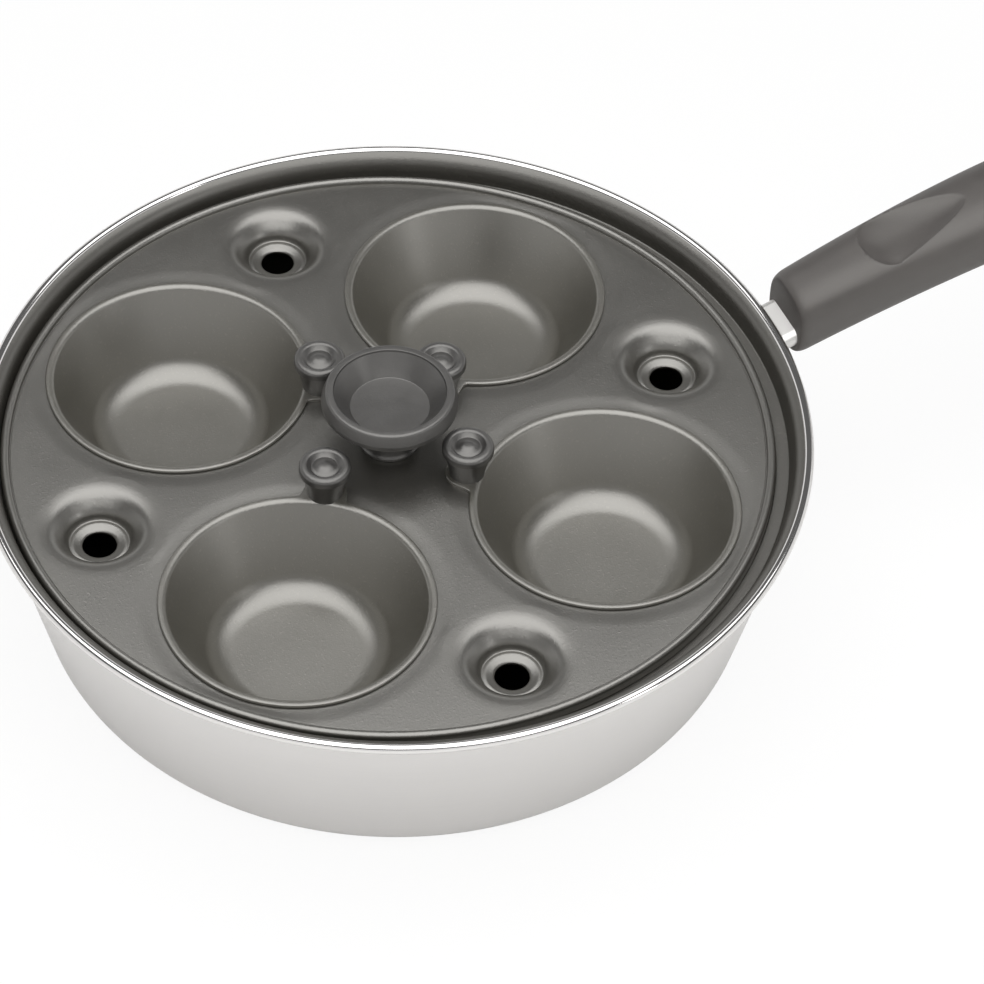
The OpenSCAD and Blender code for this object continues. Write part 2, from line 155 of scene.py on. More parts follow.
class GripSettings(bpy.types.PropertyGroup):
    """Sizes and moulding of the grip."""
    front_x: length("Front", "Distance of the front face from the pan's middle", 109, 108, 110)
    grip_l: length("Length", "Length of the grip along X", 162, 150, 172)
    front_w: length("Front width", "Width at the front face", 19.5, 19, 21)
    belly_w: length("Belly width", "Largest width of the grip", 26, 24, 28)
    thick: length("Thickness", "Thickness over the front half", 19.2, 18, 20)
    hole_d: length("Hanging hole", "Diameter of the hanging hole", 9, 7, 10)
    moulding: paint("Moulding", "Colour of the grip's moulding", (0.058, 0.052, 0.049))
    satin: share("Moulding roughness", "Roughness of the grip's moulding", 0.47)


class StageSettings(bpy.types.PropertyGroup):
    """Floor, light and camera."""
    floor: paint("Floor", "Colour of the floor", (0.94, 0.94, 0.93))
    backdrop: share("Backdrop", "Share of plain white in the floor that the camera sees", 0.9)
    fill: FloatProperty(name="Fill light", description="Strength of the light from all round",
        default=0.14, min=0.0, max=2.0)
    key: FloatProperty(name="Key light", description="Power of the soft box overhead",
        default=14.0, min=0.0, max=100.0, unit="POWER")


# Mesh surfaces

def polar(radius, turn):
    """Points at a radius and a turn in degrees."""
    a = np.radians(turn)
    return np.stack([radius * np.cos(a), radius * np.sin(a)], -1)


def arc(centre, radius, start, end, count):
    """Points of an arc round a centre, from one angle in degrees to another."""
    return np.asarray(centre) + polar(radius, np.linspace(start, end, count))


def rounded(corners, radii, count=7):
    """A line through corners, each replaced by an arc tangent to its two sides.

    The arc's tangent points lie radius times the tangent of half the turn from the corner.
    """
    corners = np.asarray(corners, float)
    line = [corners[:1]]
    for before, corner, after, radius in zip(corners, corners[1:], corners[2:], radii):
        to_before = (before - corner) / np.linalg.norm(before - corner)
        to_after = (after - corner) / np.linalg.norm(after - corner)
        middle = to_before + to_after
        if radius <= 0 or np.linalg.norm(middle) < 1e-6:
            line.append(corner[None])
            continue
        half = math.acos(np.clip(to_before @ to_after, -1, 1)) / 2
        reach = radius / math.tan(half)
        centre = corner + middle / np.linalg.norm(middle) * radius / math.sin(half)
        first = corner + to_before * reach - centre
        last = corner + to_after * reach - centre
        share_of = np.linspace(0, 1, count)[:, None]
        turn = math.pi - 2 * half
        blend = np.sin((1 - share_of) * turn) * first + np.sin(share_of * turn) * last
        line.append(centre + blend / math.sin(turn))
    line.append(corners[-1:])
    return np.concatenate(line)


def grid_faces(rows, columns, wrap=True):
    """Quads of a grid numbered row by row; wrap joins its last column to its first."""
    row = np.arange(rows - 1)[:, None]
    column = np.arange(columns if wrap else columns - 1)[None]
    beside = (column + 1) % columns
    quad = [row * columns + column, row * columns + beside,
        (row + 1) * columns + beside, (row + 1) * columns + column]
    return np.stack(np.broadcast_arrays(*quad), -1).reshape(-1, 4)


def circle(centre, radius, steps):
    """Points of a whole circle, counter-clockwise; radius can be a column of radii."""
    turn = np.arange(steps) * 2 * np.pi / steps
    return np.stack([centre[0] + radius * np.cos(turn), centre[1] + radius * np.sin(turn)], -1)


def turned(profile, steps, centre=(0, 0)):
    """Surface of revolution: each profile point (radius, height) runs round the vertical axis.

    The profile runs so that the outside lies on its right hand.
    """
    profile = np.asarray(profile, float)
    flat = circle(centre, profile[:, :1], steps)
    height = np.broadcast_to(profile[:, 1:, None], (len(profile), steps, 1))
    points = np.concatenate([flat, height], -1).reshape(-1, 3)
    return points, grid_faces(len(profile), steps)[:, ::-1]


def softened(line, times=2):
    """A line with its corners cut: each side keeps its points at a quarter and three quarters."""
    for _ in range(times):
        first, last = line[:-1], line[1:]
        cuts = np.stack([first * 0.75 + last * 0.25, first * 0.25 + last * 0.75], 1).reshape(-1, 2)
        line = np.concatenate([line[:1], cuts, line[-1:]])
    return line


def cut_sheet(outer, holes, free):
    """Triangles that fill a loop of points less its holes and also use the free points.

    They are a constrained Delaunay triangulation, without the triangles whose middle lies outside
    or in a hole. Gives all points, and the triangles counter-clockwise.
    """
    loops = [outer, *holes]
    starts = np.cumsum([0] + [len(loop) for loop in loops])
    points = np.concatenate([*loops, free])
    edges = []
    for loop, start in zip(loops, starts):
        corner = np.arange(len(loop))
        edges += (start + np.stack([corner, np.roll(corner, -1)], -1)).tolist()
    _, _, faces, origins, _, _ = delaunay_2d_cdt([Vector(p) for p in (points / MM).tolist()],
        edges, [], 0, 1e-6)
    origin = np.array([ids[0] for ids in origins])
    triangles = origin[np.array(faces)]
    middle = points[triangles].mean(axis=1)
    inside = within(middle, outer)
    for hole in holes:
        inside &= ~within(middle, hole)
    triangles = triangles[inside]
    a, b, c = (points[triangles[:, i]] for i in range(3))
    across = (b[:, 0] - a[:, 0]) * (c[:, 1] - a[:, 1]) - (b[:, 1] - a[:, 1]) * (c[:, 0] - a[:, 0])
    triangles[across < 0] = triangles[across < 0][:, ::-1]
    return points, triangles


def within(places, loop):
    """Whether each place lies inside a loop: the turns to its corners add up to a whole turn."""
    to = loop[None] - places[:, None]
    turn = np.arctan2(to[..., 1], to[..., 0])
    step = np.roll(turn, -1, axis=1) - turn
    step = (step + np.pi) % (2 * np.pi) - np.pi
    return np.abs(step.sum(axis=1)) > np.pi


def put(name, surfaces, body, nodes, finishes, sharp, numbers=None):
    """Joins surfaces into one mesh that rides on a body and takes the place of CAD nodes.

    Points at one place become one point, and a quad with a doubled corner becomes a triangle.
    An edge that bends more than sharp degrees stays sharp. numbers gives each surface's finish.
    """
    shift = np.cumsum([0] + [len(points) for points, faces in surfaces])
    points = np.concatenate([points for points, faces in surfaces])
    _, first, where = np.unique(np.round(points / 2e-7).astype(np.int64), axis=0,
        return_index=True, return_inverse=True)
    where = where.reshape(-1)
    faces = []
    finish_of = []
    for start, (_, group), number in zip(shift, surfaces, numbers or [0] * len(surfaces)):
        corners = where[group + start]
        doubled = corners == np.roll(corners, -1, axis=1)
        kept = [corners[~doubled.any(axis=1)]]
        if corners.shape[1] == 4:
            short = doubled.sum(axis=1) == 1
            kept += [np.delete(corners[short & doubled[:, i]], i, axis=1) for i in range(4)]
        for some in kept:
            faces += some.tolist()
            finish_of += [number] * len(some)
    mesh = bpy.data.meshes.new(name)
    mesh.from_pydata(points[first].tolist(), [], faces)
    for finish in finishes:
        mesh.materials.append(finish)
    mesh.polygons.foreach_set("material_index", finish_of)
    mesh.update()
    mesh.shade_smooth()
    mesh.set_sharp_from_angle(angle=math.radians(sharp))
    piece = bpy.data.objects.new(name, mesh)
    bpy.context.scene.collection.objects.link(piece)
    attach(piece, body)
    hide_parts(*nodes)


# Shader maths

class Value:
    """A shader socket on which arithmetic adds Math nodes."""

    def __init__(self, finish, socket):
        self.finish = finish
        self.socket = socket

    def maths(self, operation, *values):
        """A Math node on these values."""
        return self.finish.node("ShaderNodeMath", {"operation": operation},
            dict(enumerate(values)))

    def __add__(self, other):
        return self.maths("ADD", self, other)

    def __radd__(self, other):
        return self.maths("ADD", other, self)

    def __sub__(self, other):
        return self.maths("SUBTRACT", self, other)

    def __rsub__(self, other):
        return self.maths("SUBTRACT", other, self)

    def __mul__(self, other):
        return self.maths("MULTIPLY", self, other)

    def __pow__(self, other):
        return self.maths("POWER", self, other)


class Finish:
    """A material, or the world, whose nodes are added one expression at a time."""

    def __init__(self, block, place="Object"):
        block.use_nodes = True
        self.block = block
        self.tree = block.node_tree
        self.tree.nodes.clear()
        self.place = self.node("ShaderNodeTexCoord", output=place)

    def node(self, kind, settings=None, inputs=None, output=0):
        """Adds a node: its settings first, then the values or links of its sockets."""
        made = self.tree.nodes.new(kind)
        for key, value in (settings or {}).items():
            setattr(made, key, value)
        for key, value in (inputs or {}).items():
            socket = made.inputs[key]
            if isinstance(value, Value):
                self.tree.links.new(value.socket, socket)
            else:
                socket.default_value = value
        return Value(self, made.outputs[output])

    def noise(self, scale, detail=2.0, roughness=0.5, place=None, distortion=0.0):
        """Fractal noise from 0 to 1, with scale in lumps per metre."""
        return self.node("ShaderNodeTexNoise", {}, {"Vector": place or self.place, "Scale": scale,
            "Detail": detail, "Roughness": roughness, "Distortion": distortion})

    def step(self, value, low, high):
        """0 below low and 1 above high, with a smooth slope between."""
        return self.node("ShaderNodeMapRange", {"interpolation_type": "SMOOTHSTEP"},
            {"Value": value, "From Min": low, "From Max": high})

    def axes(self):
        """X, Y and Z of the place on the surface."""
        split = self.node("ShaderNodeSeparateXYZ", {}, {0: self.place})
        outputs = split.socket.node.outputs
        return [Value(self, outputs[i]) for i in range(3)]

    def vector(self, x, y, z):
        """A place from three values."""
        return self.node("ShaderNodeCombineXYZ", {}, {0: x, 1: y, 2: z})

    def colour_mix(self, factor, first, second):
        """A colour between two, by the factor."""
        colours = [c if isinstance(c, Value) else (*c, 1.0) for c in (first, second)]
        return self.node("ShaderNodeMix", {"data_type": "RGBA"},
            {"Factor": factor, 6: colours[0], 7: colours[1]}, output=2)

    def bump(self, height, distance, strength=1.0):
        """A normal that leans with the slope of a height."""
        return self.node("ShaderNodeBump", {}, {"Height": height, "Distance": distance,
            "Strength": strength})

    def surface(self, **sockets):
        """Ends the material in a Principled shader with these sockets."""
        names = {key.replace("_", " ").title().replace("Ior", "IOR"): value
            for key, value in sockets.items()}
        return self.end(self.node("ShaderNodeBsdfPrincipled", {}, names))

    def end(self, shader, kind="ShaderNodeOutputMaterial"):
        """Gives the surface a shader and returns the material or world."""
        out = self.tree.nodes.new(kind)
        self.tree.links.new(shader.socket, out.inputs["Surface"])
        return self.block


def pan_finish(settings):
    """Satin steel with fine turned lines, and a polished rim."""
    finish = Finish(bpy.data.materials.new("pan steel"))
    x, y, height = finish.axes()
    radius = (x * x + y * y) ** 0.5
    turn = x.maths("ARCTAN2", y, x)
    per_metre = 2600
    lines = finish.noise(1.0, detail=3, roughness=0.65,
        place=finish.vector(radius * per_metre, height * per_metre, turn * 1.2))
    cloud = finish.noise(22.0, detail=3)
    rim = finish.step(height, settings.pan_h - 2.9 * MM, settings.pan_h - 2.5 * MM)
    rough = settings.satin + (lines - 0.5) * 0.16 + (cloud - 0.5) * 0.06
    rough = rough * (1 - rim) + rim * settings.polish
    tone = finish.colour_mix(lines, [c * 0.96 for c in settings.steel],
        [min(1, c * 1.04) for c in settings.steel])
    return finish.surface(base_color=tone, metallic=1.0, roughness=rough,
        normal=finish.bump(lines * (1 - rim), 0.004 * MM))


def coating_finish(name, colour, satin, ior=2.75):
    """Dark non-stick coating: fine grain in its tone, gloss and surface, and paler flecks."""
    finish = Finish(bpy.data.materials.new(name))
    grain = finish.noise(1700.0, detail=3, roughness=0.7)
    fleck = finish.step(finish.noise(1300.0, detail=1), 0.60, 0.74)
    cloud = finish.noise(45.0, detail=4, roughness=0.6)
    tone = finish.colour_mix(grain * 0.6 + cloud * 0.4, [c * 0.6 for c in colour],
        [c * 1.4 for c in colour])
    tone = finish.colour_mix(fleck * 0.4, tone, [c * 2.4 for c in colour])
    rough = satin + (grain - 0.5) * 0.14 + (cloud - 0.5) * 0.10
    return finish.surface(base_color=tone, roughness=rough, ior=ior,
        specular_tint=(1.0, 0.98, 0.93, 1.0),
        normal=finish.bump(grain + fleck * 0.4 + cloud * 1.2, 0.05 * MM, 0.6))


def moulding_finish(name, colour, rough, ior):
    """Moulded heatproof plastic: a fine grain, and slow changes of tone and gloss."""
    finish = Finish(bpy.data.materials.new(name))
    grain = finish.noise(1400.0, detail=3, roughness=0.65)
    cloud = finish.noise(130.0, detail=4, roughness=0.6)
    tone = finish.colour_mix(cloud, [c * 0.78 for c in colour], [c * 1.22 for c in colour])
    rough = rough + (grain - 0.5) * 0.10 + (cloud - 0.5) * 0.16
    return finish.surface(base_color=tone, roughness=rough, ior=ior,
        specular_tint=(1.0, 0.98, 0.94, 1.0),
        normal=finish.bump(grain + cloud * 1.5, 0.05 * MM, 0.6))


def bright_finish(name, rough, tone=0.78):
    """Polished or satin steel with fine scratches and slow changes of tone.

    The grey tone is made a little warmer at both ends of its range.
    """
    finish = Finish(bpy.data.materials.new(name))
    scratch = finish.noise(700.0, detail=4, roughness=0.7, distortion=1.5)
    cloud = finish.noise(60.0, detail=2)
    tone = finish.colour_mix(cloud, [tone * c for c in (0.93, 0.915, 0.89)],
        [tone * c for c in (1.07, 1.055, 1.03)])
    return finish.surface(base_color=tone, metallic=1.0, roughness=rough + (scratch - 0.5) * 0.12,
        normal=finish.bump(scratch, 0.004 * MM))


# Shapes

def leaning_fillet(foot_r, foot_z, radius, lean):
    """Centre of an arc between a floor and a wall that leans out and meets the floor at foot_r."""
    return np.array([foot_r - radius * (1 - math.sin(lean)) / math.cos(lean), foot_z + radius])


def pan_profile(s):
    """Section of the pan as two lines: the steel outside with its rim, and the coated inside.

    Outside, a straight wall flares under the rim's bead: the flare's radius grows partly with its
    height and partly with the height squared. Inside, the wall steps out at the ledge that carries
    the tray and rises to the brim.
    """
    bead = np.array([s.rim_d / 2 - s.bead_r, s.pan_h - s.bead_r])
    top = bead - [2.28 * MM, 5.5 * MM]
    base_r = s.base_d / 2
    lean = math.atan2(top[0] - base_r, top[1])
    degrees = math.degrees(lean)
    across = s.sheet_t / math.cos(lean)
    fillet = 6 * MM
    middle = leaning_fillet(base_r, 0, fillet, lean)
    ledge_z = s.pan_h - 7.1 * MM
    ledge_r = s.ledge_d / 2
    foot_z = (ledge_r + across - base_r) / math.tan(lean)
    flare_w = 1.55 * MM
    flare_h = 4.4 * MM
    t = np.linspace(0, 1, 14)[:, None]
    flare = np.hstack([top[0] + flare_w * (0.62 * t + 0.38 * t * t), top[1] + flare_h * t])
    brim_turn = 150
    brim = bead + polar(s.bead_r, brim_turn)
    step = rounded([brim, bead - [3.07 * MM, 0.1 * MM], [bead[0] - 4.4 * MM, ledge_z],
        [ledge_r, ledge_z], [ledge_r, foot_z + 1 * MM], [ledge_r - 0.4 * MM, foot_z - 1.5 * MM]],
        [4 * MM, 0.5 * MM, 0.8 * MM, 2 * MM], 12)
    steel = [[[0, 0], [base_r * 0.6, 0]], arc(middle, fillet, -90, -degrees, 16), flare,
        arc(bead, s.bead_r, -125, brim_turn, 42)]
    coated = [step, arc(middle, fillet - s.sheet_t, -degrees, -90, 16),
        [[base_r * 0.6, s.sheet_t], [0, s.sheet_t]]]
    return np.concatenate(steel), np.concatenate(coated)


def tray_edge(s):
    """Section of the tray's edge: from the underside round the roll to the groove and the top.

    The roll is half a circle. The points of the underside lie at set distances from the edge.
    """
    edge = s.edge_d / 2
    lip = edge - s.roll_r
    inner = lip - s.roll_r
    top = s.top_z
    start = inner - 0.35 * MM
    ledge_z = top - 2 * MM
    under = [[start, top - s.sheet_t], [edge - 2.4 * MM, top - s.sheet_t],
        [edge - 1.5 * MM, top - 0.7 * MM], [edge - 1.0 * MM, top - 0.2 * MM],
        [edge - 0.8 * MM, top - 0.7 * MM], [edge - 0.8 * MM, ledge_z],
        [edge - 0.4 * MM, ledge_z], [edge, ledge_z + 0.4 * MM]]
    roll = [lip, top + s.lip_h - s.roll_r]
    groove_z = top - 0.1 * MM
    groove = rounded([[inner, roll[1]], [inner, groove_z], [inner - 0.25 * MM, groove_z],
        [start, top], [start - 0.1 * MM, top]], [0.05 * MM, 0.05 * MM, 0.03 * MM], 3)
    return np.concatenate([under, arc(roll, s.roll_r, 0, 180, 28), groove[1:]])


def vent_profile(s):
    """Section of a vent: soft shoulder, steep wall, trough, collar, hole and the underside.

    Heights start at the plate. The corners are in mm and are cut twice. The underside lies a
    sheet's thickness off, square to the line, down to the wall's foot.
    """
    r = s.vent_d / 2 / MM
    d = s.vent_depth / MM
    hole = s.hole_d / 2 / MM
    top = np.array([[r - 1.5, -0.03], [14.2, -0.1], [13.4, -0.21], [12.6, -0.4], [11.8, -0.76],
        [11.0, -1.32], [10.3, -1.98], [9.6, -2.68], [9.0, -3.33], [8.5, 2.5 - d], [8.15, 1.8 - d],
        [7.95, 1.1 - d], [7.75, 0.55 - d], [7.5, 0.3 - d], [7.25, 0.29 - d], [7.0, 0.37 - d],
        [6.7, 0.45 - d], [6.3, 0.43 - d], [5.6, 0.2 - d], [hole + 0.35, -0.1 - d],
        [hole, -0.45 - d]])
    top = softened(np.concatenate([[[r, 0]], top]))
    ahead = np.gradient(top, axis=0)
    ahead /= np.linalg.norm(ahead, axis=1)[:, None]
    under = (top + ahead[:, ::-1] * [-1, 1] * s.sheet_t / MM)[top[:, 0] > 7.9][::-1]
    under[:, 0] = np.maximum.accumulate(under[:, 0])
    return np.concatenate([[[r + 0.6, 0]], top, [[hole, -d - 1.0], [7.6, -d - 1.0]], under,
        [[r + 0.6, -s.sheet_t / MM]]]) * MM


def cup_place(tray, cups, i):
    """The middle of cup i and the turn, in degrees, from there to its small knob."""
    facing = 45 + 90 * (i - 1)
    middle = np.array(tray.middle) + polar(cups.pitch, facing)
    return middle, facing + 180 + math.degrees(getattr(cups, f"turn_{i}"))


def well_outline(tray, cups, i):
    """Edge of a well: a circle that opens into a notch for the small knob's screw.

    The circles cross where the triangle of their radii and the distance between them says.
    """
    middle, facing = cup_place(tray, cups, i)
    r = tray.well_d / 2
    notch = 4.2 * MM
    reach = cups.tab_reach
    meet = math.acos((reach ** 2 + r ** 2 - notch ** 2) / (2 * reach * r))
    bend = math.atan2(r * math.sin(meet), r * math.cos(meet) - reach)
    meet, bend = math.degrees(meet), math.degrees(bend)
    rim = middle + polar(r, np.linspace(facing + meet, facing + 360 - meet, 180))
    round_notch = np.linspace(facing - bend, facing + bend, 25)
    pocket = middle + polar(reach, facing) + polar(notch, round_notch)
    return np.concatenate([rim, pocket[1:-1]])


def tray_dip(tray, cups, places, edge_r, vents, vent_r):
    """How far the plate lies below its flat top: it sinks along an S-shaped ease towards each well.

    The dip fades out before the tray's edge and before the vents.
    """
    wells = [cup_place(tray, cups, i)[0] for i in range(1, 5)]
    away = np.min([np.linalg.norm(places - well, axis=1) for well in wells], axis=0)
    start = tray.well_d / 2 + 1 * MM
    dip = ease(tray.dip, 0, (away - start) / tray.dip_w)
    dip = dip * ease(0, 1, (edge_r - np.linalg.norm(places - tray.middle, axis=1)) / (2.2 * MM))
    beside = np.min([np.linalg.norm(places - vent, axis=1) for vent in vents], axis=0)
    return dip * ease(0, 1, (beside - vent_r) / (2 * MM))


def well_collar(tray, cups, i):
    """A collar under the plate round a well: a box section that stops at the notch's two sides."""
    middle, facing = cup_place(tray, cups, i)
    inner = tray.well_d / 2 + 0.02 * MM
    outer = tray.well_d / 2 + 1 * MM
    high = tray.top_z - tray.dip - 0.5 * MM
    low = tray.top_z - tray.dip - 2.3 * MM
    section = np.array([[inner, high], [inner, low], [outer, low], [outer, high], [inner, high]])
    gap = 7.4
    turn = np.linspace(facing + gap, facing + 360 - gap, COLLAR_STEPS)
    flat = middle + polar(section[:, :1], turn)
    height = np.broadcast_to(section[:, 1:, None], (len(section), COLLAR_STEPS, 1))
    points = np.concatenate([flat, height], -1)
    corners = np.arange(4) * COLLAR_STEPS
    ends = [corners, corners[::-1] + COLLAR_STEPS - 1]
    faces = grid_faces(len(section), COLLAR_STEPS, wrap=False)
    return points.reshape(-1, 3), np.concatenate([faces, ends])


def cup_surface(tray, cups, i):
    """A cup: rows of its section run round its middle, and the flange's rows follow the tab's edge.

    The edge is the larger of the rim's radius and the tab's circle, averaged over a small turn.
    """
    middle, facing = cup_place(tray, cups, i)
    turn = np.concatenate([np.linspace(-18, 18, 121)[:-1], np.linspace(18, 342, 181)[:-1]])
    spread = np.linspace(-2.2, 2.2, 23)
    near = np.radians((turn[:, None] + spread + 180) % 360 - 180)
    rim_r = cups.rim_d / 2
    across = cups.tab_reach * np.sin(near)
    tab = cups.tab_reach * np.cos(near) + np.sqrt(np.maximum(0, cups.tab_r ** 2 - across ** 2))
    edge = np.where(np.abs(across) < cups.tab_r, np.maximum(rim_r, tab), rim_r)
    edge = np.where(np.abs(near) > 1, rim_r, edge)
    weight = np.exp(-spread ** 2 / 2)
    edge = edge @ weight / weight.sum()
    wall = cups.wall_d / 2
    base = cups.base_d / 2
    depth = cups.depth
    t = cups.sheet_t
    lean = math.atan((wall - base) / depth)
    degrees = math.degrees(lean)
    fillet = 9 * MM
    low = leaning_fillet(base, -depth, fillet, lean)
    drop = tray.dip
    lip_z = 0.25 * MM - drop
    roll = 1.6 * MM
    lip = wall - 1.1 * MM
    outside = np.concatenate([[[0, -depth], [base * 0.4, -depth]],
        arc(low, fillet, -90, -degrees, 14), [[wall - drop * math.tan(lean), -drop]]])
    flange = np.concatenate([[[-0.3 * MM, -drop]],
        arc([-0.5 * MM, 0.5 * MM - drop], 0.5 * MM, -50, 90, 8)])
    inside = np.concatenate([
        arc([lip + roll, lip_z + 0.75 * MM - roll], roll, 90, 180 - degrees, 12),
        arc(low, fillet - t, -degrees, -90, 16), [[base * 0.4, t - depth], [0, t - depth]]])
    rows = np.concatenate([outside, flange, inside])
    on_edge = np.zeros(len(rows))
    on_edge[len(outside):len(outside) + len(flange)] = 1
    radius = rows[:, :1] + on_edge[:, None] * edge
    flat = middle + polar(radius, turn + facing)
    height = np.broadcast_to(rows[:, 1:, None] + tray.top_z, (*radius.shape, 1))
    points = np.concatenate([flat, height], -1)
    return points.reshape(-1, 3), grid_faces(*radius.shape)[:, ::-1]


def big_knob_profile(s):
    """Section of the big knob: foot, waisted stem, skirt, ring and a dish with a flat floor.

    The stem's radius is its foot's, less half a sine wave, plus a part that grows with the height
    squared. The other corners are rounded.
    """
    ring = s.ring_d / 2 / MM
    skirt = s.skirt_d / 2 / MM
    h = s.height / MM
    dish = h - s.dish / MM
    t = np.linspace(0, 1, 16)
    stem = np.stack([7.2 - 0.6 * np.sin(np.pi * t) + 1.4 * t * t, 1.4 + 8.2 * t], -1)
    corners = [[0, 0], [7.6, 0], [7.6, 0.9], *stem.tolist(), [12, h - 6.6], [15.6, h - 4.9],
        [skirt, h - 4.2], [skirt - 0.1, h - 3.1], [ring + 0.25, h], [ring - 1.6, h],
        [ring - 1.75, h - 0.55], [9.95, dish], [0, dish]]
    radii = [0.3, 0.3, *[0.0] * len(stem), 2, 2, 0.35, 0.5, 0.9, 0.15, 0.5, 0.25]
    return rounded(np.array(corners) * MM, [r * MM for r in radii])


def small_knob_profile(s):
    """Section of a small knob: a stem that widens to a rounded cap with a domed middle.

    The stem's radius grows with the height to the power 1.3. The dome is half a cosine wave of the
    radius to the power 1.5.
    """
    cap = s.small_d / 2 / MM
    h = s.small_h / MM
    cap_z = h - 2.9
    t = np.linspace(0, 1, 14)
    stem = np.stack([4.4 + (cap - 4.9) * t ** 1.3, cap_z * t], -1)
    ring = rounded([stem[-1], [cap, cap_z + 0.5], [cap, h], [4.6, h], [3.5, h - 1.15]],
        [0.3, 1.25, 0.9], 9)
    r = np.linspace(1, 0, 16)
    dome = np.stack([3.4 * r, h - 1.2 + 0.5 * (1 + np.cos(np.pi * r ** 1.5))], -1)
    return np.concatenate([[[0, 0], [4.4, 0]], stem[1:-1], ring, dome]) * MM


def ease(start, end, t):
    """Goes from start to end as t goes from 0 to 1, level at both."""
    t = np.clip(t, 0, 1)
    return start + (end - start) * t * t * (3 - 2 * t)


def grip_surfaces(s):
    """The grip: half a section runs along the handle, its mirror image and the hanging hole's wall.

    A section is a superellipse of twice the power. It starts at the hole's side where there is a
    hole, and at the middle elsewhere. Its points bunch at both ends. All sizes here are in mm.
    """
    long = s.grip_l / MM
    front_w, belly_w = s.front_w / MM, s.belly_w / MM
    belly = 95.0
    tail = 14.0
    hang = long - 13
    hole = s.hole_d / 2 / MM
    front = 3.0
    power = 1.4
    u = np.concatenate([front * (1 - np.cos(np.linspace(0, np.pi / 2, 12))),
        np.linspace(front, 60, 115), np.linspace(60, long - 18, 36),
        hang - hole * np.cos(np.linspace(0, np.pi, 31)),
        long - tail * (1 - np.sin(np.linspace(0, np.pi / 2, 40)))])
    u = np.unique(np.round(np.concatenate([u, [long]]), 5))
    cap = np.concatenate([[0, 0.5], np.ones(len(u))])
    u = np.concatenate([[0, 0], u])
    swell = front_w + (belly_w - front_w) * np.sin(np.pi / 2 * u / belly)
    width = np.where(u < belly, swell, ease(belly_w, 22, (u - belly) / (long - belly)))
    thick = ease(s.thick / MM, 13, (u - 50) / (long - 50))
    middle = 52 + 0.36 * u - 0.00125 * u * u
    edge = 0.885 + 0.115 * np.sqrt(1 - np.clip(1 - u / front, 0, 1) ** 2)
    plan = np.sqrt(np.clip(1 - (np.maximum(0, u - long + tail) / tail) ** 2, 0, 1))
    side = np.clip(1 - (np.maximum(0, u - long + 3.5) / 3.5) ** 2.2, 0, 1) ** (1 / 2.2)
    half_w = (width / 2 * edge * plan * cap)[:, None]
    half_t = (thick / 2 * edge * (0.35 * plan + 0.65) * side * cap)[:, None]
    inner = np.sqrt(np.maximum(0, hole ** 2 - (u - hang) ** 2))[:, None]
    open_to = np.arccos((inner / np.maximum(half_w, 1e-9)) ** power)
    v = np.linspace(0, 1, 97)
    v = v ** power / (v ** power + (1 - v) ** power)
    th = open_to * (1 - 2 * v)
    y = half_w * np.maximum(np.cos(th), 0) ** (1 / power)
    y[:, 0] = y[:, -1] = inner[:, 0]
    z = half_t * np.sign(np.sin(th)) * np.abs(np.sin(th)) ** (1 / power)
    x = np.broadcast_to(u[:, None], y.shape)
    z = middle[:, None] + z - np.where(z > 0, thumb_hollow(x, y), 0)
    half = np.stack([x * MM + s.front_x, y * MM, z * MM], -1)
    at_hole = np.nonzero(np.abs(u - hang) <= hole + 1e-4)[0]
    down = np.linspace(0, 1, 7)[:, None]
    top, foot = half[at_hole, :1], half[at_hole, -1:]
    wall = top + (foot - top) * down
    faces = grid_faces(*y.shape, wrap=False)
    wall_faces = grid_faces(*wall.shape[:2], wrap=False)[:, ::-1]
    right = [(half.reshape(-1, 3), faces), (wall.reshape(-1, 3), wall_faces)]
    return right + [(points * [1, -1, 1], group[:, ::-1]) for points, group in right]


def thumb_hollow(u, y):
    """Depth in mm of the thumb rest: steep towards the pan, drawn out and shallow away from it.

    Its floor is nearly flat, because the depth goes with a low power of the distance to its edge.
    """
    deepest = 2.7
    middle = 27.5
    a = (u - middle) / np.where(u < middle, 7.0, 22.0)
    b = y / (8.8 * (1 - 0.32 * np.clip(a, 0, 1)))
    d = np.clip(1 - a * a - b * b, 0, 1)
    power = 0.31
    soft = 0.0004
    return deepest * ((d * d + soft) ** power - soft ** power)


class POACHER_OT_pan(bpy.types.Operator):
    """Make the pressed steel pan with its coated inside"""
    bl_idname = "poacher.pan"
    bl_label = "Pan"

    def execute(self, context):
        s = context.scene.poacher_pan
        steel, coated = pan_profile(s)
        surfaces = [turned(steel, PAN_STEPS), turned(coated, PAN_STEPS)]
        looks = [pan_finish(s), coating_finish("pan coating", s.coating, satin=0.40, ior=2.2)]
        put("pan_pressing", surfaces, "pan", ["pan_body"], looks, sharp=32,
            numbers=[0, 1])
        return {"FINISHED"}


class POACHER_OT_fixings(bpy.types.Operator):
    """Finish the bracket, flame guard, screws and washer"""
    bl_idname = "poacher.fixings"
    bl_label = "Bracket, guard and screws"

    def execute(self, context):
        looks = [
            (bright_finish("satin steel", rough=0.42, tone=0.66), ["handle_bracket", "flame_guard"]),
            (bright_finish("bright steel", rough=0.18), ["handle_screw", "tray_knob_washer",
                "tray_knob_screw", *[f"cup_screw_{i}" for i in range(1, 5)]])]
        for finish, names in looks:
            for name in names:
                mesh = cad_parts[name].data
                mesh.materials.clear()
                mesh.materials.append(finish)
        return {"FINISHED"}


